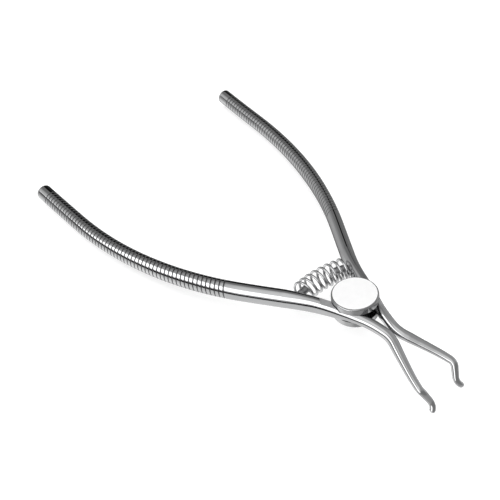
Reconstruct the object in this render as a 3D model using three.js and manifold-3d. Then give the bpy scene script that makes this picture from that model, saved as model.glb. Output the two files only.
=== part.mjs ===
// Spring-return separating pliers with ribbed handles, a disc joint and hooked tips.
// Millimetres. +X points to the tips, +Z is the pivot axis, and the far arm lies on the +Y side.
// The top of the joint's upper disc is at Z = 0.
import * as THREE from 'three';
import { mergeVertices } from 'three/addons/utils/BufferGeometryUtils.js';
import Module from 'manifold-3d';

const wasm = await Module();
wasm.setup();

// ---- driving dimensions -------------------------------------------------------------------

const BAR = 5.0;                    // diameter of the round bar that the handles are made of
const CLEARANCE = 0.15;             // running gap between faces that slide on each other
const FIT_GAP = 0.12;               // radial gap round a pin that sits in a hole

const DISC_RADIUS = 6.5;
const DISC_THICKNESS = 2.03;
const DISC_EDGE_ROUND = 0.4;
const STACK_HALF_HEIGHT = 3.41;     // from the middle of the joint to a disc's outer face
const DISC_INNER_Z = STACK_HALF_HEIGHT - DISC_THICKNESS;
const SEAT_RADIUS = 7.05;           // pocket in an arm for the disc that is fixed to it
const SWEEP_RADIUS = 6.65;          // pocket in the arm that the other arm's disc turns in
const RELIEF_RADIUS = 9.55;         // shallower flat outside that pocket
const RELIEF_Z = 2.05;

const RIVET_RADIUS = 1.25;
const RIVET_HEAD_RADIUS = 2.3;
const RIVET_HEAD_DEPTH = 0.9;
const RIVET_HOLE_DEPTH = 1.1;       // blind hole in the upper disc
const BUSH_RADIUS = 2.1;
const POCKET_DEPTH = 6;             // tall enough to pass out of the arm
const ROUND_SEGMENTS = 48;

const PIVOT_STATION = 111.6;        // arm length from the tail to the pivot
const PIVOT_OFFSET = 5.39;          // from the pivot to the arm's centre line
const ARM_LENGTH = 149.8;
const ARM_SIDES = 12;

const RIB_START = 5.0;              // end of the plain band at the tail
const RIB_PITCH = 1.345;
const RIB_COUNT = 55;
const GROOVE_WIDTH = 0.42;
const GROOVE_DEPTH = 0.2;
const TAIL_CHAMFER = 0.35;
const TIP_ROUND = 0.3;

const NEAR_COIL = [-13.34, -7.36];   // middle of the spring's near end coil, in X and Y
const FAR_COIL = [-11.27, 7.98];
const SPRING_Z = 0;
const SPRING_END_TILT = 15;         // degrees between an end's axis and the line through both ends
const SPRING_RADIUS = 2.95;         // to the middle of the wire
const WIRE_RADIUS = 0.38;
const SPRING_TURNS = 8;
const SPRING_START_ANGLE = -68;     // where the wire starts round the near end, in degrees
const SPRING_CLOSED_SHARE = 0.09;   // how much tighter the coils are at the ends
const WIRE_STEPS_PER_TURN = 15;
const PEG_RADIUS = 1.15;
const PEG_LENGTH = 3.6;
const PEG_CHAMFER = 0.3;
const PEG_SHOULDER = 2.35;          // from the arm's centre line to the wide part
const PEG_SHANK_RADIUS = 0.8;
const PEG_DRILL_LENGTH = 6;         // runs from the arm's centre line out past its inner face
const PEG_SIDES = 20;

// The arm as a bend schedule: [distance from the tail, angle in degrees].
// Heading is the angle away from the middle plane, and dip is the angle downwards.
const HEADING = [
  [0, -3], [20.4, -3],              // straight tail
  [82.4, -32], [94, -32],           // long bow, then straight to the spring
  [106.5, -21.5], [116.5, -21.5],   // past the pivot
  [124, -9.5], [128.4, 22],         // crook where the arms touch
  [136.6, 20.6], [141.3, 14.7],     // jaw
  [143.6, -37.7], [146.2, -37.7],   // elbow and leg
  [ARM_LENGTH, 90],                 // hook
];
const DIP = [
  [0, 10], [102.6, 0], [107.5, 0],  // handle, then level through the joint
  [127, 17.2], [141.3, 17.6],       // jaw
  [143.6, 58], [146.2, 58],         // elbow and leg
  [ARM_LENGTH, 45],                 // hook
];

// The arm's oval section: [distance from the tail, width across, height].
const SECTION = [
  [0, BAR, BAR], [32, BAR, BAR + 0.1],
  [55, 4.7, 6.0], [68, 4.35, 6.35], [95, 4.15, 6.2],
  [103, 3.55, 5.6], [111, 3.35, 4.6], [118, 2.95, 3.5],
  [125, 2.9, 3.2], [129.5, 2.8, 2.95], [132.5, 2.55, 2.6], [136.5, 2.3, 2.35],
  [141, 2.1, 2.15], [143.5, 1.95, 1.95], [146.3, 1.75, 1.75], [ARM_LENGTH, 1.5, 1.5],
];

// Stations along the smooth part of the arm: [from, to, step], closer together in the bends.
const SMOOTH_STRETCHES = [
  [81, 122, 3], [122.5, 130, 1.2], [131, 140, 2.8], [141.2, ARM_LENGTH - 0.7, 0.75],
];

const WALK_STEP = 0.1;

// ---- materials ----------------------------------------------------------------------------

function steel(color, roughness) {
  return new THREE.MeshStandardMaterial({ color, roughness, metalness: 1 });
}

const ARM_STEEL = [0xc4c5c7, 0.22];
const DISC_STEEL = [0xe6e7e8, 0.15];
const PIN_STEEL = [0x9a9b9e, 0.3];
const SPRING_STEEL = [0xb4b5b8, 0.25];

// ---- tables and the arm's centre line -------------------------------------------------------

function lookUp(table, distance, column = 1) {
  const last = table.length - 1;
  const next = Math.max(1, table.findIndex((row) => row[0] >= distance));
  const upper = distance >= table[last][0] ? last : next;
  const a = table[upper - 1];
  const b = table[upper];
  const share = THREE.MathUtils.clamp((distance - a[0]) / (b[0] - a[0]), 0, 1);
  return a[column] + (b[column] - a[column]) * share;
}

// Direction of travel from tail to tip. side is +1 for the far arm and -1 for the near arm.
function directionAt(distance, side) {
  const heading = THREE.MathUtils.degToRad(lookUp(HEADING, distance));
  const dip = THREE.MathUtils.degToRad(lookUp(DIP, distance));
  const level = Math.cos(dip);
  return new THREE.Vector3(level * Math.cos(heading), side * level * Math.sin(heading), -Math.sin(dip));
}

// Walks the bend schedule both ways from the pivot station, and gives a point for any distance.
class CentreLine {
  constructor(side) {
    this.side = side;
    this.start = Math.round(PIVOT_STATION / WALK_STEP);
    const count = Math.round(ARM_LENGTH / WALK_STEP);
    this.points = new Array(count + 1);
    this.points[this.start] = new THREE.Vector3(0, side * PIVOT_OFFSET, 0);
    for (let i = this.start; i < count; i += 1) {
      const step = directionAt((i + 0.5) * WALK_STEP, side).multiplyScalar(WALK_STEP);
      this.points[i + 1] = this.points[i].clone().add(step);
    }
    for (let i = this.start; i > 0; i -= 1) {
      const step = directionAt((i - 0.5) * WALK_STEP, side).multiplyScalar(WALK_STEP);
      this.points[i - 1] = this.points[i].clone().sub(step);
    }
  }

  pointAt(distance) {
    const place = THREE.MathUtils.clamp(distance / WALK_STEP, 0, this.points.length - 1);
    const low = Math.min(Math.floor(place), this.points.length - 2);
    return this.points[low].clone().lerp(this.points[low + 1], place - low);
  }

  // Forward, sideways and upward directions of the section at a distance.
  frameAt(distance) {
    const forward = directionAt(distance, this.side);
    const up = new THREE.Vector3(0, 0, 1).addScaledVector(forward, -forward.z).normalize();
    const across = new THREE.Vector3().crossVectors(up, forward);
    return { forward, across, up };
  }
}

// ---- solids -------------------------------------------------------------------------------

function toSolid(geometry) {
  const bare = geometry.clone();
  bare.deleteAttribute('normal');
  bare.deleteAttribute('uv');
  const merged = mergeVertices(bare, 1e-4);
  return new wasm.Manifold(new wasm.Mesh({
    numProp: 3,
    vertProperties: new Float32Array(merged.attributes.position.array),
    triVerts: new Uint32Array(merged.index.array),
  }));
}

function toGeometry(solid) {
  const mesh = solid.getMesh();
  const geometry = new THREE.BufferGeometry();
  geometry.setAttribute('position', new THREE.BufferAttribute(mesh.vertProperties, 3));
  geometry.setIndex(new THREE.BufferAttribute(mesh.triVerts, 1));
  geometry.computeVertexNormals();
  return geometry;
}

function part(name, geometry, [color, roughness]) {
  const mesh = new THREE.Mesh(geometry, steel(color, roughness));
  mesh.name = name;
  return mesh;
}

// A solid turned about Z from [radius, z] points.
function turned(profile, segments = ROUND_SEGMENTS) {
  const points = profile.map(([radius, z]) => new THREE.Vector2(radius, z));
  return new THREE.LatheGeometry(points, segments).rotateX(Math.PI / 2);
}

// A turned solid moved so that its own Z runs along a direction from a point.
function aimed(geometry, point, direction) {
  const turn = new THREE.Quaternion().setFromUnitVectors(new THREE.Vector3(0, 0, 1), direction);
  return geometry.applyQuaternion(turn).translate(point.x, point.y, point.z);
}

// A closed bar along the centre line. Each station is [distance, width, height].
function sweptBar(line, stations) {
  const bar = new THREE.CylinderGeometry(1, 1, 1, ARM_SIDES, stations.length - 1);
  const position = bar.attributes.position;
  for (let i = 0; i < position.count; i += 1) {
    const row = Math.round((0.5 - position.getY(i)) * (stations.length - 1));
    const [distance, width, height] = stations[row];
    const { across, up } = line.frameAt(distance);
    const point = line.pointAt(distance)
      .addScaledVector(across, position.getX(i) * width / 2)
      .addScaledVector(up, position.getZ(i) * height / 2);
    position.setXYZ(i, point.x, point.y, point.z);
  }
  return bar;
}

function sectionAt(distance, cut = 0) {
  return [distance, lookUp(SECTION, distance, 1) - cut, lookUp(SECTION, distance, 2) - cut];
}

// ---- arms ---------------------------------------------------------------------------------

function armStations() {
  const stations = [sectionAt(0, 2 * TAIL_CHAMFER), sectionAt(TAIL_CHAMFER)];
  for (let rib = 0; rib < RIB_COUNT; rib += 1) {
    const groove = RIB_START + rib * RIB_PITCH;
    stations.push(sectionAt(groove - GROOVE_WIDTH / 2));
    stations.push(sectionAt(groove, 2 * GROOVE_DEPTH));
    stations.push(sectionAt(groove + GROOVE_WIDTH / 2));
  }
  for (const [from, to, step] of SMOOTH_STRETCHES) {
    for (let distance = from; distance < to; distance += step) {
      stations.push(sectionAt(distance));
    }
  }
  const tip = lookUp(SECTION, ARM_LENGTH);
  stations.push([ARM_LENGTH - TIP_ROUND, tip * 0.9, tip * 0.9]);
  stations.push([ARM_LENGTH, tip * 0.5, tip * 0.5]);
  return stations;
}

// Everything beyond a level within a radius of the pivot, above (direction +1) or below (-1).
function discPocket(radius, direction, floor = DISC_INNER_Z - CLEARANCE) {
  const pocket = new THREE.CylinderGeometry(radius, radius, POCKET_DEPTH, ROUND_SEGMENTS);
  pocket.rotateX(Math.PI / 2).translate(0, 0, direction * (floor + POCKET_DEPTH / 2));
  return toSolid(pocket);
}

// The arc that the spring's axis follows. It bows away from the joint. bow points to the middle
// of the arc and run points from the near end to the far one, and tilt is half the arc's angle.
function springArc() {
  const near = new THREE.Vector3(...NEAR_COIL, SPRING_Z);
  const far = new THREE.Vector3(...FAR_COIL, SPRING_Z);
  const run = far.clone().sub(near).normalize();
  const bow = new THREE.Vector3(-run.y, run.x, 0);
  const tilt = THREE.MathUtils.degToRad(SPRING_END_TILT);
  const radius = near.distanceTo(far) / 2 / Math.sin(tilt);
  const hub = near.clone().add(far).divideScalar(2).addScaledVector(bow, -radius * Math.cos(tilt));
  return { near, far, run, bow, tilt, radius, hub };
}

// The spring's end: the middle of the end coil and the direction from the arm into the coil.
function springEnd(side) {
  const { near, far, run, bow, tilt } = springArc();
  const inward = bow.multiplyScalar(Math.sin(tilt)).addScaledVector(run, -side * Math.cos(tilt));
  return { centre: side > 0 ? far : near, inward };
}

// The point where a peg's axis passes over the arm's centre line, and the peg's direction.
function pegRoot(line) {
  const { centre, inward } = springEnd(line.side);
  let closest = Infinity;
  let reach = 0;
  for (const point of line.points) {
    const back = centre.clone().sub(point);
    const miss = Math.abs(new THREE.Vector3().crossVectors(back, inward).z);
    if (miss < closest) {
      closest = miss;
      reach = back.dot(inward);
    }
  }
  return { root: centre.addScaledVector(inward, -reach), inward };
}

function arm(name, line) {
  const upperPocket = discPocket(line.side > 0 ? SEAT_RADIUS : SWEEP_RADIUS, 1);
  const lowerPocket = discPocket(line.side > 0 ? SWEEP_RADIUS : SEAT_RADIUS, -1);
  const relief = discPocket(RELIEF_RADIUS, -line.side, RELIEF_Z);
  const { root, inward } = pegRoot(line);
  const hole = PEG_SHANK_RADIUS + FIT_GAP;
  const drill = turned([[0, 0], [hole, 0], [hole, PEG_DRILL_LENGTH], [0, PEG_DRILL_LENGTH]], PEG_SIDES);
  const body = toSolid(sweptBar(line, armStations()))
    .subtract(upperPocket)
    .subtract(lowerPocket)
    .subtract(relief)
    .subtract(toSolid(aimed(drill, root, inward)));
  return part(name, toGeometry(body), ARM_STEEL);
}

// ---- joint --------------------------------------------------------------------------------

// Half of a disc's outline from the axis to its rounded outer edge, with z going outwards.
function discEdge() {
  const points = [[DISC_RADIUS, DISC_INNER_Z]];
  const centre = [DISC_RADIUS - DISC_EDGE_ROUND, STACK_HALF_HEIGHT - DISC_EDGE_ROUND];
  for (let step = 0; step <= 4; step += 1) {
    const angle = step * Math.PI / 8;
    points.push([
      centre[0] + DISC_EDGE_ROUND * Math.cos(angle),
      centre[1] + DISC_EDGE_ROUND * Math.sin(angle),
    ]);
  }
  return points;
}

function topDisc() {
  const hole = RIVET_RADIUS + FIT_GAP;
  const ceiling = DISC_INNER_Z + RIVET_HOLE_DEPTH;
  return turned([
    [0, ceiling], [hole, ceiling], [hole, DISC_INNER_Z],
    ...discEdge(),
    [0, STACK_HALF_HEIGHT],
  ]);
}

function bottomDisc() {
  const hole = RIVET_RADIUS + FIT_GAP;
  const sinkTop = STACK_HALF_HEIGHT - RIVET_HEAD_DEPTH;
  const sink = RIVET_HEAD_RADIUS + FIT_GAP;
  const outline = [
    [hole, sinkTop], [hole, DISC_INNER_Z],
    ...discEdge(),
    [sink, STACK_HALF_HEIGHT], [hole, sinkTop],
  ];
  const flipped = outline.map(([radius, z]) => [radius, -z]).reverse();
  return turned(flipped);
}

function pivotRivet() {
  const top = DISC_INNER_Z + RIVET_HOLE_DEPTH - FIT_GAP;
  const headTop = -STACK_HALF_HEIGHT + RIVET_HEAD_DEPTH;
  return turned([
    [0, -STACK_HALF_HEIGHT], [RIVET_HEAD_RADIUS, -STACK_HALF_HEIGHT],
    [RIVET_RADIUS, headTop], [RIVET_RADIUS, top], [0, top],
  ]);
}

function pivotBush() {
  const inner = RIVET_RADIUS + FIT_GAP;
  const half = DISC_INNER_Z - CLEARANCE;
  return turned([
    [inner, -half], [BUSH_RADIUS, -half], [BUSH_RADIUS, half], [inner, half], [inner, -half],
  ]);
}

// ---- spring -------------------------------------------------------------------------------

// A peg for the spring: a shank in the arm's hole, and a wider, chamfered nose in the coil.
function springPeg(line) {
  const { root, inward } = pegRoot(line);
  const tip = PEG_SHOULDER + PEG_LENGTH;
  const peg = turned([
    [0, FIT_GAP], [PEG_SHANK_RADIUS, FIT_GAP], [PEG_SHANK_RADIUS, PEG_SHOULDER],
    [PEG_RADIUS, PEG_SHOULDER], [PEG_RADIUS, tip - PEG_CHAMFER],
    [PEG_RADIUS - PEG_CHAMFER, tip], [0, tip],
  ], PEG_SIDES);
  return aimed(peg, root, inward);
}

// The wire's path: coils round the spring's arc, from the near end to the far one.
class CoilPath extends THREE.Curve {
  constructor() {
    super();
    this.arc = springArc();
  }

  getPoint(t, target = new THREE.Vector3()) {
    const { run, bow, tilt, radius, hub } = this.arc;
    const easedEnds = 0.5 * (Math.sin(Math.PI * (t - 0.5)) + 1);
    const along = THREE.MathUtils.lerp(t, easedEnds, SPRING_CLOSED_SHARE);
    const lean = THREE.MathUtils.lerp(-tilt, tilt, along);
    const turn = t * SPRING_TURNS * 2 * Math.PI + THREE.MathUtils.degToRad(SPRING_START_ANGLE);
    const reach = radius + SPRING_RADIUS * Math.cos(turn);
    target.copy(hub)
      .addScaledVector(bow, reach * Math.cos(lean))
      .addScaledVector(run, reach * Math.sin(lean));
    target.z += SPRING_RADIUS * Math.sin(turn);
    return target;
  }
}

function returnSpring() {
  const wire = new THREE.Shape().absarc(0, 0, WIRE_RADIUS, 0, 2 * Math.PI);
  return new THREE.ExtrudeGeometry(wire, {
    steps: SPRING_TURNS * WIRE_STEPS_PER_TURN,
    curveSegments: 3,
    extrudePath: new CoilPath(),
  });
}

// ---- assembly -----------------------------------------------------------------------------

const nearLine = new CentreLine(-1);
const farLine = new CentreLine(1);

const pliers = new THREE.Group();
pliers.add(
  arm('near_arm', nearLine),
  arm('far_arm', farLine),
  part('top_joint_disc', topDisc(), DISC_STEEL),
  part('bottom_joint_disc', bottomDisc(), DISC_STEEL),
  part('pivot_rivet', pivotRivet(), PIN_STEEL),
  part('pivot_bush', pivotBush(), PIN_STEEL),
  part('near_spring_peg', springPeg(nearLine), PIN_STEEL),
  part('far_spring_peg', springPeg(farLine), PIN_STEEL),
  part('return_spring', returnSpring(), SPRING_STEEL),
);
pliers.position.z = -STACK_HALF_HEIGHT;

export default pliers;
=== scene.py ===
import math

import bpy
import numpy as np
from mathutils import Matrix, Vector


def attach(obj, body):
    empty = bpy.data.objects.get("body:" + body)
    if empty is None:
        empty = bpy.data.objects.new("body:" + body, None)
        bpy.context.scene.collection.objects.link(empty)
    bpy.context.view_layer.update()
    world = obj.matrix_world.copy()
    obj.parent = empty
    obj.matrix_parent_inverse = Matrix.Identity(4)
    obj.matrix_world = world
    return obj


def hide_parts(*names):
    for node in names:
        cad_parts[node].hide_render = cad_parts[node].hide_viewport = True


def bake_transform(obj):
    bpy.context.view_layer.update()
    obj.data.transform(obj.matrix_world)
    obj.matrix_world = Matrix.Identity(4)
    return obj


# Orthodontic separating pliers in polished steel, just over a white floor in a soft studio.
# +X points to the tips and +Z is the pivot axis. The shapes below are in millimetres, with the
# middle of the joint at Z = 0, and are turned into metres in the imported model's frame at the end.

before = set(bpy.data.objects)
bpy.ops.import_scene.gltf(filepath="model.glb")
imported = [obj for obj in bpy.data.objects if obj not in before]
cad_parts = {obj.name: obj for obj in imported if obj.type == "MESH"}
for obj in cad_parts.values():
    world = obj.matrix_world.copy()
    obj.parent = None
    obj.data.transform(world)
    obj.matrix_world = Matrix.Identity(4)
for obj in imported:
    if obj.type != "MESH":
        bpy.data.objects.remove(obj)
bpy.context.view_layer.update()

# ---- driving dimensions, in millimetres and degrees ---------------------------------------

MM = 0.001

BAR = 5.0                       # diameter of the round bar that the handles are made of
CLEARANCE = 0.15                # running gap between faces that slide on each other
FIT_GAP = 0.12                  # radial gap round a pin that sits in a hole

# The joint: two discs with both arms between them. The arms lie side by side and don't cross.
DISC_RADIUS = 6.5
DISC_THICKNESS = 2.03
DISC_EDGE_ROUND = 0.5
STACK_HALF_HEIGHT = 3.41        # from the joint's middle to the outer face of a disc
DISC_INNER_Z = STACK_HALF_HEIGHT - DISC_THICKNESS
FLAT_Z = DISC_INNER_Z - CLEARANCE
SEAT_RADIUS = 7.05              # flat under the disc that is fixed to the arm
SWEEP_RADIUS = 6.65             # flat under the disc that turns on the arm
RELIEF_RADIUS = 9.55            # shallower flat outside that one
RELIEF_Z = 2.05
POCKET_DEPTH = 6.0              # height of a flat's cutter, more than the arm is high there

RIVET_RADIUS = 1.25
RIVET_CHAMFER = 0.15
RIVET_HEAD_RADIUS = 2.3
RIVET_HEAD_DEPTH = 0.9
RIVET_HEAD_EDGE = (0.06, 0.05)  # bevel across the head's face and up its side
RIVET_HOLE_DEPTH = 1.1
BUSH_RADIUS = 2.1
BUSH_CHAMFER = 0.12

# The arms. A station is a distance along an arm from its tail.
ARM_LENGTH = 149.8
PIVOT_STATION = 111.6           # the station that lies beside the pivot
PIVOT_OFFSET = 5.39             # how far the arm's centre line is from the pivot there
TAIL_EDGE = ((0, 0.35), (0.08, 0.21), (0.2, 0.0875), (0.35, 0.03), (0.5, 0))    # (station, cut)
RIB_START = 5.0
RIB_PITCH = 1.345
RIB_COUNT = 55
RIB_CROWN = 0.006               # how far a rib's edges lie below its middle
GROOVE_WIDTH = 0.42
GROOVE_DEPTH = 0.2
GROOVE_LIFT = 0.2               # share of the groove's oval above the bar, for a crisp edge
TIP_ROUND = 0.55

# The return spring and its pegs.
NEAR_COIL = (-13.34, -7.36)     # middles of the spring's two ends
FAR_COIL = (-11.27, 7.98)
SPRING_Z = 0.0
SPRING_END_TILT = 15.0
SPRING_RADIUS = 2.95
WIRE_RADIUS = 0.38
SPRING_TURNS = 8
SPRING_START_ANGLE = -68.0      # where the wire starts round the near end
SPRING_CLOSED_SHARE = 0.09      # how much closer the wire's turns lie at the two ends
PEG_RADIUS = 1.15
PEG_LENGTH = 3.6
PEG_CHAMFER = 0.3
PEG_SHOULDER = 2.35             # from the arm's centre line to the wide part of the peg
PEG_SHOULDER_CHAMFER = 0.08
PEG_SHANK_RADIUS = 0.8
PEG_DRILL_LENGTH = 6.0

# How finely the meshes are divided, and which of their edges are shaded sharp.
WALK_STEP = 0.1
ARM_SIDES = 64
TAIL_START = 1.0
TAIL_STATIONS = 9
GROOVE_SHARES = (-1, -0.75, -0.45, -0.15, 0.15, 0.45, 0.75, 1)  # of half its width
LAND_SHARES = (0.12, 0.3, 0.5, 0.7, 0.88)                       # of the rib's width
SMOOTH_GAP = 0.15               # from the last groove to the first station after it
SMOOTH_END = 122.0
SMOOTH_STATIONS = 90
JAW_START = 122.4
JAW_STATIONS = 110
TIP_ANGLES = range(12, 85, 12)  # degrees round the tip
ROUND_SEGMENTS = 128
PEG_SEGMENTS = 64
DRILL_SEGMENTS = 48
DISC_EDGE_STEPS = 14
PEG_TIP_STEPS = 6
WIRE_STEPS_PER_TURN = 40
WIRE_SIDES = 16
AXIS_RADIUS = 0.002             # a turned solid closes on a ring of this size, not on one point
SHARP_ANGLE = 35.0              # edges that turn by more than this are shaded sharp
CUT_SHARP_ANGLE = 28.0
WIRE_SHARP_ANGLE = 60.0

# The arm as a bend schedule: (station, angle). HEADING turns away from the middle plane and DIP
# turns downwards. SECTION is (station, width across, height).
HEADING = (
    (0, -3), (20.4, -3), (82.4, -32), (94, -32), (106.5, -21.5), (116.5, -21.5),
    (124, -9.5), (128.4, 22), (136.6, 20.6), (141.3, 14.7), (143.6, -37.7), (146.2, -37.7),
    (ARM_LENGTH, 90),
)
DIP = (
    (0, 10), (102.6, 0), (107.5, 0), (127, 17.2), (141.3, 17.6), (143.6, 58), (146.2, 58),
    (ARM_LENGTH, 45),
)
SECTION = (
    (0, BAR, BAR), (32, BAR, BAR + 0.1), (55, 4.7, 6.0), (68, 4.35, 6.35), (95, 4.15, 6.2),
    (103, 3.55, 5.6), (111, 3.35, 4.6), (118, 2.95, 3.5), (125, 2.9, 3.2), (129.5, 2.8, 2.95),
    (132.5, 2.55, 2.6), (136.5, 2.3, 2.35), (141, 2.1, 2.15), (143.5, 1.95, 1.95),
    (146.3, 1.75, 1.75), (ARM_LENGTH, 1.5, 1.5),
)


# ---- meshes -------------------------------------------------------------------------------

def in_metres(points):
    """Points in millimetres about the joint's middle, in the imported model's frame."""
    moved = np.asarray(points, float) * MM
    moved[:, 2] -= STACK_HALF_HEIGHT * MM
    return moved


def mesh_object(name, points, faces, sharp_angle=SHARP_ANGLE):
    mesh = bpy.data.meshes.new(name)
    mesh.from_pydata(in_metres(points).tolist(), [], faces)
    mesh.shade_smooth()
    mesh.set_sharp_from_angle(angle=math.radians(sharp_angle))
    made = bpy.data.objects.new(name, mesh)
    bpy.context.scene.collection.objects.link(made)
    return made


def ring_faces(rings, sides, closed=False):
    """Quads between rings of points, with a flat cap on each end unless the rings are closed."""
    faces = []
    for ring in range(rings if closed else rings - 1):
        here, there = ring * sides, (ring + 1) % rings * sides
        for side in range(sides):
            after = (side + 1) % sides
            faces.append((here + side, here + after, there + after, there + side))
    if not closed:
        faces.append(tuple(reversed(range(sides))))
        faces.append(tuple(range((rings - 1) * sides, rings * sides)))
    return faces


def turned(profile, closed=False, segments=ROUND_SEGMENTS):
    """Points and faces of a solid turned about Z. Profile points are (radius, z)."""
    angles = np.arange(segments) * 2 * math.pi / segments
    points = [
        (radius * math.cos(angle), radius * math.sin(angle), z)
        for radius, z in profile for angle in angles
    ]
    return np.array(points), ring_faces(len(profile), segments, closed)


def aimed(points, place, direction):
    """Points whose own Z is turned to a direction and whose origin goes to a place."""
    turn = Vector((0, 0, 1)).rotation_difference(Vector(direction)).to_matrix()
    return points @ np.array(turn).T + np.array(place)


def arc(centre, radius, start, end, steps):
    """Profile points round an arc, with its angles in degrees."""
    angles = np.radians(np.linspace(start, end, steps + 1))
    return [(centre[0] + radius * math.cos(a), centre[1] + radius * math.sin(a)) for a in angles]


# ---- the arm's centre line ----------------------------------------------------------------

def look_up(table, distance, column=1):
    return np.interp(distance, [row[0] for row in table], [row[column] for row in table])


def directions(distance, side):
    heading = np.radians(look_up(HEADING, distance))
    dip = np.radians(look_up(DIP, distance))
    return np.stack([
        np.cos(dip) * np.cos(heading), side * np.cos(dip) * np.sin(heading), -np.sin(dip),
    ], axis=-1)


def centre_line(side):
    """Points every WALK_STEP along an arm, with its pivot station beside the pivot."""
    steps = round(ARM_LENGTH / WALK_STEP)
    middles = (np.arange(steps) + 0.5) * WALK_STEP
    walked = np.cumsum(directions(middles, side) * WALK_STEP, axis=0)
    points = np.vstack([np.zeros(3), walked])
    pivot = points[round(PIVOT_STATION / WALK_STEP)]
    return points - pivot + np.array([0, side * PIVOT_OFFSET, 0])


def along(line, distance):
    places = np.arange(len(line)) * WALK_STEP
    return np.stack([np.interp(distance, places, line[:, axis]) for axis in range(3)], axis=-1)


def section_frames(distance, side):
    forward = directions(distance, side)
    up = np.array([0.0, 0.0, 1.0]) - forward * forward[..., 2:3]
    up /= np.linalg.norm(up, axis=-1, keepdims=True)
    return np.cross(up, forward), up


# ---- arms ---------------------------------------------------------------------------------

def rib_stations():
    """(station, cut) over the ribs: rounded grooves with slightly crowned lands between them."""
    half_groove = GROOVE_WIDTH / 2
    land = RIB_PITCH - GROOVE_WIDTH
    stations = []
    for rib in range(RIB_COUNT):
        groove = RIB_START + rib * RIB_PITCH
        for share in GROOVE_SHARES:
            oval = math.sqrt(1 - (1 - GROOVE_LIFT ** 2) * share ** 2)
            depth = (oval - GROOVE_LIFT) / (1 - GROOVE_LIFT)
            cut = RIB_CROWN + (GROOVE_DEPTH - RIB_CROWN) * depth
            stations.append((groove + share * half_groove, cut))
        if rib < RIB_COUNT - 1:
            stations += [
                (groove + half_groove + share * land, RIB_CROWN * (2 * share - 1) ** 2)
                for share in LAND_SHARES
            ]
    return stations


def plain_stations(start, end, count):
    return [(station, 0.0) for station in np.linspace(start, end, count)]


def arm_stations():
    """(station, cut) from the tail to the rounded tip, where cut is how far below SECTION the
    surface lies."""
    stations = [*TAIL_EDGE]
    stations += plain_stations(TAIL_START, RIB_START - GROOVE_WIDTH, TAIL_STATIONS)
    stations += rib_stations()
    stations += plain_stations(stations[-1][0] + SMOOTH_GAP, SMOOTH_END, SMOOTH_STATIONS)
    stations += plain_stations(JAW_START, ARM_LENGTH - TIP_ROUND, JAW_STATIONS)
    tip_half = look_up(SECTION, ARM_LENGTH) / 2
    for angle in np.radians(TIP_ANGLES):
        station = ARM_LENGTH - TIP_ROUND * (1 - math.sin(angle))
        stations.append((station, tip_half * (1 - math.cos(angle))))
    return np.array(stations)


def arm_body(name, side):
    line = centre_line(side)
    stations = arm_stations()
    place, cut = stations[:, 0], stations[:, 1]
    middle = along(line, place)
    across, up = section_frames(place, side)
    half_width = look_up(SECTION, place, 1) / 2 - cut
    half_height = look_up(SECTION, place, 2) / 2 - cut
    angles = np.arange(ARM_SIDES) * 2 * math.pi / ARM_SIDES
    grid = (
        middle[:, None, :]
        + np.cos(angles)[None, :, None] * (half_width[:, None] * across)[:, None, :]
        + np.sin(angles)[None, :, None] * (half_height[:, None] * up)[:, None, :]
    )
    faces = ring_faces(len(stations), ARM_SIDES)
    if side > 0:
        faces = [tuple(reversed(face)) for face in faces]
    made = mesh_object(name, grid.reshape(-1, 3), faces)
    store_groove_depth(made, place, cut)
    return made


def store_groove_depth(made, place, cut):
    """Keeps at each vertex how deep in a groove it lies, 0 to 1, for painted groove shade and
    roughness.
    """
    depth = np.clip((cut - RIB_CROWN) / (GROOVE_DEPTH - RIB_CROWN), 0, 1)
    depth[place < RIB_START - GROOVE_WIDTH] = 0
    depth[place > RIB_START + RIB_COUNT * RIB_PITCH] = 0
    kept = made.data.attributes.new("groove", "FLOAT", "POINT")
    kept.data.foreach_set("value", np.repeat(depth, ARM_SIDES).astype(np.float32))


def cut_away(body, cutters):
    """Cuts the cutters out of the body and shades the new edges sharp."""
    for cutter in cutters:
        modifier = body.modifiers.new("cut", "BOOLEAN")
        modifier.operation = "DIFFERENCE"
        modifier.solver = "EXACT"
        modifier.object = cutter
    graph = bpy.context.evaluated_depsgraph_get()
    mesh = bpy.data.meshes.new_from_object(body.evaluated_get(graph))
    body.modifiers.clear()
    body.data = mesh
    mesh.shade_smooth()
    mesh.set_sharp_from_angle(angle=math.radians(CUT_SHARP_ANGLE))
    for cutter in cutters:
        bpy.data.objects.remove(cutter)


def disc_pocket(radius, up, flat_z=FLAT_Z):
    """The cutter for a flat on the arm's upper side (1) or lower side (-1)."""
    low, high = sorted((up * flat_z, up * (flat_z + POCKET_DEPTH)))
    points, faces = turned([(radius, low), (radius, high)])
    return mesh_object("pocket", points, faces)


def spring_arc():
    """The arc that the spring's axis follows, bowed away from the joint."""
    near, far = (np.array([*end, SPRING_Z]) for end in (NEAR_COIL, FAR_COIL))
    run = (far - near) / np.linalg.norm(far - near)
    bow = np.array([-run[1], run[0], 0.0])
    tilt = math.radians(SPRING_END_TILT)
    radius = np.linalg.norm(far - near) / 2 / math.sin(tilt)
    hub = (near + far) / 2 - bow * radius * math.cos(tilt)
    return {
        "near": near, "far": far, "run": run, "bow": bow,
        "tilt": tilt, "radius": radius, "hub": hub,
    }


def peg_root(side):
    """Where a peg's axis passes over or under the arm's centre line, and its direction."""
    curve = spring_arc()
    inward = curve["bow"] * math.sin(curve["tilt"]) - side * curve["run"] * math.cos(curve["tilt"])
    centre = curve["far"] if side > 0 else curve["near"]
    back = centre - centre_line(side)
    miss = np.abs(np.cross(back, inward)[:, 2])
    return centre - inward * (back[np.argmin(miss)] @ inward), inward


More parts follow.
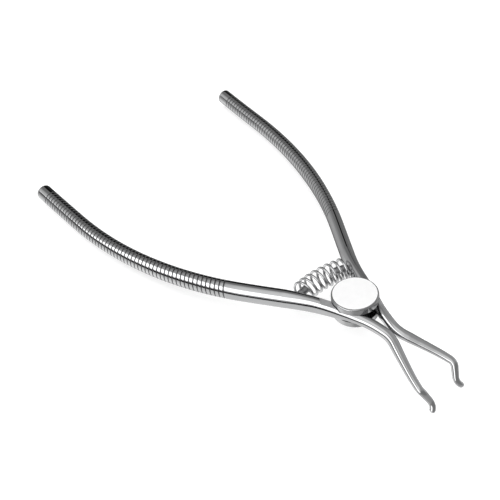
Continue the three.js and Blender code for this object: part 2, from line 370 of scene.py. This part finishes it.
def arm(name, side):
    body = arm_body(name, side)
    root, inward = peg_root(side)
    hole = PEG_SHANK_RADIUS + FIT_GAP
    drill = [(hole, 0), (hole, PEG_DRILL_LENGTH)]
    drill_points, drill_faces = turned(drill, segments=DRILL_SEGMENTS)
    cut_away(body, [
        *(disc_pocket(SEAT_RADIUS if up == side else SWEEP_RADIUS, up) for up in (1, -1)),
        disc_pocket(RELIEF_RADIUS, -side, RELIEF_Z),
        mesh_object("drill", aimed(drill_points, root, inward), drill_faces),
    ])
    return body


# ---- joint --------------------------------------------------------------------------------

def disc_edge():
    corner = (DISC_RADIUS - DISC_EDGE_ROUND, STACK_HALF_HEIGHT - DISC_EDGE_ROUND)
    return [(DISC_RADIUS, DISC_INNER_Z), *arc(corner, DISC_EDGE_ROUND, 0, 90, DISC_EDGE_STEPS)]


def on_axis(z):
    return (AXIS_RADIUS, z)


def top_disc():
    hole = RIVET_RADIUS + FIT_GAP
    ceiling = DISC_INNER_Z + RIVET_HOLE_DEPTH
    points, faces = turned([
        on_axis(ceiling), (hole, ceiling), (hole, DISC_INNER_Z), *disc_edge(),
        (DISC_RADIUS / 2, STACK_HALF_HEIGHT), on_axis(STACK_HALF_HEIGHT),
    ])
    return mesh_object("top_disc_turned", points, faces)


def bottom_disc():
    hole = RIVET_RADIUS + FIT_GAP
    sink_top = STACK_HALF_HEIGHT - RIVET_HEAD_DEPTH
    outline = [
        (hole, sink_top), (hole, DISC_INNER_Z), *disc_edge(),
        (RIVET_HEAD_RADIUS + FIT_GAP, STACK_HALF_HEIGHT),
    ]
    points, faces = turned([(radius, -z) for radius, z in reversed(outline)], closed=True)
    return mesh_object("bottom_disc_turned", points, faces)


def pivot_rivet():
    top = DISC_INNER_Z + RIVET_HOLE_DEPTH - FIT_GAP
    head = -STACK_HALF_HEIGHT
    bevel_across, bevel_up = RIVET_HEAD_EDGE
    points, faces = turned([
        on_axis(head), (RIVET_HEAD_RADIUS - bevel_across, head),
        (RIVET_HEAD_RADIUS, head + bevel_up), (RIVET_RADIUS, head + RIVET_HEAD_DEPTH),
        (RIVET_RADIUS, top - RIVET_CHAMFER), (RIVET_RADIUS - RIVET_CHAMFER, top), on_axis(top),
    ])
    return mesh_object("rivet_turned", points, faces)


def pivot_bush():
    inner = RIVET_RADIUS + FIT_GAP
    bevelled = BUSH_RADIUS - BUSH_CHAMFER
    points, faces = turned([
        (inner, -FLAT_Z), (bevelled, -FLAT_Z), (BUSH_RADIUS, -FLAT_Z + BUSH_CHAMFER),
        (BUSH_RADIUS, FLAT_Z - BUSH_CHAMFER), (bevelled, FLAT_Z), (inner, FLAT_Z),
    ], closed=True)
    return mesh_object("bush_turned", points, faces)


# ---- spring -------------------------------------------------------------------------------

def spring_peg(name, side):
    root, inward = peg_root(side)
    tip = PEG_SHOULDER + PEG_LENGTH
    points, faces = turned([
        on_axis(FIT_GAP), (PEG_SHANK_RADIUS, FIT_GAP), (PEG_SHANK_RADIUS, PEG_SHOULDER),
        (PEG_RADIUS - PEG_SHOULDER_CHAMFER, PEG_SHOULDER),
        (PEG_RADIUS, PEG_SHOULDER + PEG_SHOULDER_CHAMFER),
        *arc((PEG_RADIUS - PEG_CHAMFER, tip - PEG_CHAMFER), PEG_CHAMFER, 0, 90, PEG_TIP_STEPS),
        on_axis(tip),
    ], segments=PEG_SEGMENTS)
    return mesh_object(name, aimed(points, root, inward), faces)


def coil_path(share):
    """Points on the wire's own centre line, by share of the way from the near end."""
    curve = spring_arc()
    eased = 0.5 * (np.sin(np.pi * (share - 0.5)) + 1)
    travel = share + (eased - share) * SPRING_CLOSED_SHARE
    lean = curve["tilt"] * (2 * travel - 1)
    turn = share * SPRING_TURNS * 2 * np.pi + math.radians(SPRING_START_ANGLE)
    reach = curve["radius"] + SPRING_RADIUS * np.cos(turn)
    path = (
        curve["hub"]
        + np.outer(reach * np.cos(lean), curve["bow"])
        + np.outer(reach * np.sin(lean), curve["run"])
    )
    path[:, 2] += SPRING_RADIUS * np.sin(turn)
    return path


def return_spring():
    share = np.linspace(0, 1, SPRING_TURNS * WIRE_STEPS_PER_TURN + 1)
    path = coil_path(share)
    forward = np.gradient(path, axis=0)
    forward /= np.linalg.norm(forward, axis=1, keepdims=True)
    curve = spring_arc()
    lean = curve["tilt"] * (2 * share - 1)
    axis = np.outer(-np.sin(lean), curve["bow"]) + np.outer(np.cos(lean), curve["run"])
    out = np.cross(forward, axis)
    out /= np.linalg.norm(out, axis=1, keepdims=True)
    side = np.cross(forward, out)
    angles = np.arange(WIRE_SIDES) * 2 * math.pi / WIRE_SIDES
    wire = (
        path[:, None, :]
        + WIRE_RADIUS * np.cos(angles)[None, :, None] * out[:, None, :]
        + WIRE_RADIUS * np.sin(angles)[None, :, None] * side[:, None, :]
    )
    faces = ring_faces(len(path), WIRE_SIDES)
    return mesh_object("spring_wire", wire.reshape(-1, 3), faces, WIRE_SHARP_ANGLE)


# ---- materials ----------------------------------------------------------------------------

STEEL_BALANCE = (0.995, 1.0, 1.01)      # red, green and blue: steel is slightly cold
CLOUD_SCALE = 260.0                     # the slow change of tone over polished steel
GLOSS_SCALE = 900.0
GRAIN_SCALE = 9000.0
GRAIN_STRETCH = (0.12, 1.0, 1.0)        # the fine scratches run along X
GRAIN_STRENGTH = 0.05
GROOVE_SHADE_DEPTH = (0.05, 0.7)                # painted shade: where a groove turns dark, as shares of its depth
ROUGH_DEPTH = (0.2, 1.0)                # where it turns rough
BLAST_SCALE = 14000.0                   # the blasted finish on the discs' faces
BLAST_STRENGTH = 0.15
BUMP_DISTANCE = 0.00002
LEVEL_TOLERANCE = 0.01                  # millimetres
SQUARE_NORMAL = 0.99                    # a face this close to square to the pivot is flat


class Shading:
    """A node tree with short calls. An input is given a number, a vector or another output."""

    def __init__(self, tree):
        self.nodes = tree.nodes
        self.links = tree.links

    def feed(self, socket, given):
        if isinstance(given, bpy.types.NodeSocket):
            self.links.new(given, socket)
        else:
            socket.default_value = given

    def add(self, kind, inputs, **settings):
        made = self.nodes.new("ShaderNode" + kind)
        for setting, value in settings.items():
            setattr(made, setting, value)
        for name, given in inputs.items():
            self.feed(made.inputs[name], given)
        return made

    def math(self, operation, *terms):
        return self.add("Math", dict(enumerate(terms)), operation=operation).outputs[0]

    def ranged(self, value, low, high, from_low=0.3, from_high=0.7, curve="LINEAR"):
        """The value's range from_low to from_high turned into low to high."""
        made = self.add("MapRange", {
            "Value": value, "From Min": from_low, "From Max": from_high,
            "To Min": low, "To Max": high,
        }, interpolation_type=curve)
        return made.outputs["Result"]


class Finish(Shading):
    """A new material. Its patterns are laid out in the object's own coordinates."""

    def __init__(self, name):
        self.material = bpy.data.materials.new(name)
        self.material.use_nodes = True
        super().__init__(self.material.node_tree)
        self.surface = self.nodes["Principled BSDF"].inputs
        self.place = self.add("TexCoord", {}).outputs["Object"]

    def noise(self, scale, detail, vector=None):
        made = self.add("TexNoise", {
            "Vector": vector or self.place, "Scale": scale, "Detail": detail,
        })
        return made.outputs["Fac"]

    def set(self, name, given):
        self.feed(self.surface[name], given)

    def set_colour(self, shade, balance=(1.0, 1.0, 1.0)):
        channels = zip(("Red", "Green", "Blue"), balance)
        mixed = {name: self.math("MULTIPLY", shade, strength) for name, strength in channels}
        self.set("Base Color", self.add("CombineColor", mixed).outputs["Color"])

    def set_bump(self, height, strength):
        bump = self.add("Bump", {
            "Height": height, "Strength": strength, "Distance": BUMP_DISTANCE,
        })
        self.set("Normal", bump.outputs["Normal"])


def steel(name, tone, roughness, grooved=False, metallic=1.0):
    """Steel with a mottled tone, uneven gloss and fine scratches. tone and roughness are (lowest,
    highest). A grooved steel has painted shade and is rougher at the bottom of its grooves."""
    finish = Finish(name)
    shade = finish.ranged(finish.noise(CLOUD_SCALE, detail=4.0), *tone)
    gloss = finish.ranged(finish.noise(GLOSS_SCALE, detail=5.0), *roughness)
    if grooved:
        depth = finish.add("Attribute", {}, attribute_name="groove").outputs["Fac"]
        shade = finish.math("MULTIPLY", shade, finish.ranged(depth, 1.0, 0.2, *GROOVE_SHADE_DEPTH))
        gloss = finish.math("ADD", gloss, finish.ranged(depth, 0.0, 0.2, *ROUGH_DEPTH))
    finish.set_colour(shade, STEEL_BALANCE)
    finish.set("Roughness", gloss)
    finish.set("Metallic", metallic)
    stretched = finish.add("Mapping", {"Vector": finish.place, "Scale": GRAIN_STRETCH})
    grain = finish.noise(GRAIN_SCALE, detail=2.0, vector=stretched.outputs["Vector"])
    finish.set_bump(grain, GRAIN_STRENGTH)
    return finish.material


def painted_light_satin_face():
    """Fine-blasted steel on the discs' flat faces, near white as painted light for the strong light
    on them.
    """
    finish = Finish("satin_disc_face_painted_light")
    cloud = finish.noise(scale=500.0, detail=4.0)
    finish.set_colour(finish.ranged(cloud, low=0.89, high=0.92))
    finish.set("Roughness", finish.ranged(cloud, low=0.5, high=0.6))
    finish.set("Metallic", 0.25)
    finish.set_bump(finish.noise(BLAST_SCALE, detail=2.0), BLAST_STRENGTH)
    return finish.material


def finish_faces(piece, metal, flat, *levels):
    """The flat finish on level faces that far from the joint's middle, the metal elsewhere."""
    piece.data.materials.append(metal)
    piece.data.materials.append(flat)
    for polygon in piece.data.polygons:
        height = abs(polygon.center.z / MM + STACK_HALF_HEIGHT)
        on_level = any(abs(height - level) < LEVEL_TOLERANCE for level in levels)
        polygon.material_index = int(on_level and abs(polygon.normal.z) > SQUARE_NORMAL)


# ---- the object ---------------------------------------------------------------------------

SIDES = (("near", -1), ("far", 1))

# the arms' grooves get painted shade: their colour darkens towards each groove's bottom
polished = steel("polished_arm_steel", (0.54, 0.58), (0.07, 0.11), grooved=True)
milled_steel = steel("milled_flat_steel", (0.68, 0.74), (0.36, 0.44), metallic=0.8)
# turned steel for the discs' walls; its darker tone is painted shade
disc_wall_painted_shade = steel("turned_disc_wall_painted_shade", (0.44, 0.49), (0.14, 0.2))
pin_steel = steel("pin_steel", (0.5, 0.56), (0.3, 0.4))
wire_steel = steel("spring_wire_steel", (0.62, 0.68), (0.04, 0.07))
# painted light: the discs' satin faces are near white, lighter than the steel's own tone
painted_light_satin = painted_light_satin_face()


def stand_for(node):
    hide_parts(node)


def place_disc(disc, node, body):
    finish_faces(disc, disc_wall_painted_shade, painted_light_satin, STACK_HALF_HEIGHT)
    stand_for(node)
    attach(disc, body)


def place_pin(pin, node, body):
    pin.data.materials.append(pin_steel)
    stand_for(node)
    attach(pin, body)


for name, side in SIDES:
    forged = arm(f"{name}_arm_forged", side)
    finish_faces(forged, polished, milled_steel, FLAT_Z, RELIEF_Z)
    stand_for(f"{name}_arm")
    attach(forged, f"{name}_side")

place_disc(top_disc(), "top_joint_disc", "far_side")
place_disc(bottom_disc(), "bottom_joint_disc", "near_side")
place_pin(pivot_rivet(), "pivot_rivet", "far_side")
place_pin(pivot_bush(), "pivot_bush", "far_side")
for name, side in SIDES:
    place_pin(spring_peg(f"{name}_peg_turned", side), f"{name}_spring_peg", f"{name}_side")

spring = return_spring()
spring.data.materials.append(wire_steel)
stand_for("return_spring")
near_end, far_end = in_metres([spring_arc()["near"], spring_arc()["far"]])
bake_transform(spring)


# ---- camera -------------------------------------------------------------------------------

VIEW_AZIMUTH = 56.265           # degrees round from looking along +Y
VIEW_ELEVATION = 40.811
VIEW_ROLL = -9.746
VIEW_DISTANCE = 200.13          # millimetres from the joint's middle, along the view
VIEW_OFFSET = (28.464, -13.973)     # where the joint's middle lies from the view's centre line
FOCAL_LENGTH = 53.03
NEAR_CLIP = 0.01
HALF_PIXEL = 0.5 / 500          # pixels are counted from their middles in a 500 x 500 picture


def add_camera():
    azimuth, elevation, roll = map(math.radians, (VIEW_AZIMUTH, VIEW_ELEVATION, VIEW_ROLL))
    level = math.cos(elevation)
    back = Vector((math.sin(azimuth) * level, -math.cos(azimuth) * level, math.sin(elevation)))
    level_right = Vector((math.cos(azimuth), math.sin(azimuth), 0))
    level_up = back.cross(level_right)
    right = level_right * math.cos(roll) + level_up * math.sin(roll)
    up = level_up * math.cos(roll) - level_right * math.sin(roll)
    place = back * VIEW_DISTANCE - right * VIEW_OFFSET[0] - up * VIEW_OFFSET[1]
    data = bpy.data.cameras.new("camera")
    data.lens = FOCAL_LENGTH
    data.clip_start = NEAR_CLIP
    data.shift_x = -HALF_PIXEL
    data.shift_y = HALF_PIXEL
    camera = bpy.data.objects.new("camera", data)
    turn = Matrix((right, up, back)).transposed().to_4x4()
    camera.matrix_world = Matrix.Translation(in_metres([place])[0]) @ turn
    bpy.context.scene.collection.objects.link(camera)
    bpy.context.scene.camera = camera


add_camera()


# ---- floor --------------------------------------------------------------------------------

FLOOR_SIZE = 3.0
FLOOR_GAP = 0.0015              # keeps the far arm clear of the tilted floor when it is squeezed in
FLOOR_GLOW = 0.62               # the paper is lit from below as well, so shadows stay pale


def resting_plane():
    """The plane under the tails and the hooks: a point on it and its slope along X, in metres."""
    ends = np.array([0.0, ARM_LENGTH])
    _, up = section_frames(ends, 1)
    half_height = look_up(SECTION, ends, 2) / 2
    tail, tip = in_metres(along(centre_line(1), ends) - up * half_height[:, None])
    return tail, (tip[2] - tail[2]) / (tip[0] - tail[0])


def floor_material():
    finish = Finish("white_paper")
    finish.set_colour(finish.ranged(finish.noise(scale=40.0, detail=3.0), low=0.5, high=0.53))
    finish.set("Roughness", 0.9)
    finish.set("Specular IOR Level", 0.1)
    finish.set("Emission Color", (1.0, 1.0, 1.0, 1.0))
    finish.set("Emission Strength", FLOOR_GLOW)
    return finish.material


def add_floor():
    tail, slope = resting_plane()
    half = FLOOR_SIZE / 2
    corners = [
        (x, y, tail[2] + (x - tail[0]) * slope - FLOOR_GAP)
        for x, y in ((-half, -half), (half, -half), (half, half), (-half, half))
    ]
    mesh = bpy.data.meshes.new("floor")
    mesh.from_pydata(corners, [], [(0, 1, 2, 3)])
    mesh.materials.append(floor_material())
    floor = bpy.data.objects.new("floor", mesh)
    floor.visible_glossy = False    # the polish mirrors the studio's own paper instead
    bpy.context.scene.collection.objects.link(floor)


add_floor()


# ---- studio light -------------------------------------------------------------------------

def direction(azimuth, elevation):
    a, e = math.radians(azimuth), math.radians(elevation)
    return Vector((math.cos(a) * math.cos(e), math.sin(a) * math.cos(e), math.sin(e)))


class Studio(Shading):
    """The room round the object, as a brightness for each direction. Azimuth is measured from +X
    towards +Y, and every size is in degrees."""

    def __init__(self, base):
        world = bpy.data.worlds.new("studio")
        bpy.context.scene.world = world
        world.use_nodes = True
        super().__init__(world.node_tree)
        self.nodes.clear()
        self.gaze = self.add("TexCoord", {}).outputs["Generated"]
        self.total = base

    def dot(self, axis):
        made = self.add("VectorMath", {0: self.gaze, 1: axis}, operation="DOT_PRODUCT")
        return made.outputs["Value"]

    def panel(self, azimuth, elevation, half_width, half_height, strength, soft=4.0, roll=0.0):
        """A soft-edged rectangle round a direction, brighter or darker than the room."""
        ahead = direction(azimuth, elevation)
        level = ahead.cross(Vector((0, 0, 1))).normalized()
        right = Matrix.Rotation(math.radians(roll), 3, ahead) @ level
        up = right.cross(ahead)
        forward = self.dot(ahead)
        masks = []
        for axis, half in ((right, half_width), (up, half_height)):
            slant = self.math("ARCTAN2", self.math("ABSOLUTE", self.dot(axis)), forward)
            edges = math.radians(half - soft), math.radians(half + soft)
            masks.append(self.ranged(slant, 1.0, 0.0, *edges, curve="SMOOTHSTEP"))
        shape = self.math("MULTIPLY", *masks)
        self.total = self.math("ADD", self.total, self.math("MULTIPLY", shape, strength))

    def finish(self, backdrop):
        """Everything sees the room, apart from the camera, which sees a plain backdrop."""
        room = self.add("Background", {"Strength": self.math("MAXIMUM", self.total, 0.0)})
        plain = self.add("Background", {"Strength": backdrop})
        sight = self.add("LightPath", {}).outputs["Is Camera Ray"]
        mix = self.add("MixShader", {0: sight, 1: room.outputs[0], 2: plain.outputs[0]})
        self.add("OutputWorld", {"Surface": mix.outputs[0]})


studio = Studio(base=0.56)
studio.panel(-93, 18, 13, 36, 2.6, soft=4, roll=50)         # long slanting softbox at -Y
studio.panel(-102, -8, 6, 44, -0.95, soft=3, roll=45)       # dark gap under the softbox
studio.panel(-63, 46, 17, 39, 0.75, soft=11, roll=-5)       # tall reflector above that
studio.panel(138, 14, 10, 32, -0.52, soft=5)                # dark wall past the far handle
studio.panel(114, 8, 14, 40, -0.3, soft=5)                  # the same wall, less dark
studio.panel(168, 41, 22, 39, -0.26, soft=10, roll=16)      # dim ceiling over the tails
studio.panel(-172, 2, 14, 26, 0.12, soft=6)                 # pale wall past the tails
studio.panel(-143, 34, 12, 16, 0.35, soft=8)                # small one high over the near tail
studio.panel(-5, 12, 62, 27, -0.21, soft=9)                 # dim side of the room past the tips
studio.panel(81, -1, 19, 14, 0.45, soft=9, roll=-11)        # pale patch at table height at +Y
studio.panel(-95, -70, 68, 43, 0.5, soft=8, roll=-41)       # paper under the object
studio.panel(-135, -42, 22, 14, 0.4, soft=8)                # brighter paper by the near handle
studio.panel(138, -47, 26, 9, -0.4, soft=6)                 # shade on the paper by the far handle
studio.panel(-25, -46, 26, 12, -0.5, soft=9)                # shade on the paper by the jaws
studio.finish(backdrop=1.35)

TOP_LIGHT_HEIGHT = 0.9
TOP_LIGHT_SIZE = 1.2
TOP_LIGHT_POWER = 9.0


def add_top_light():
    """A wide diffuser over the table. Polished metal doesn't mirror it."""
    data = bpy.data.lights.new("diffuser", "AREA")
    data.shape = "SQUARE"
    data.size = TOP_LIGHT_SIZE
    data.energy = TOP_LIGHT_POWER
    light = bpy.data.objects.new("diffuser", data)
    light.location = (0, 0, TOP_LIGHT_HEIGHT)
    light.visible_glossy = False
    light.visible_camera = False
    bpy.context.scene.collection.objects.link(light)


add_top_light()
bpy.context.scene.view_settings.view_transform = "Standard"
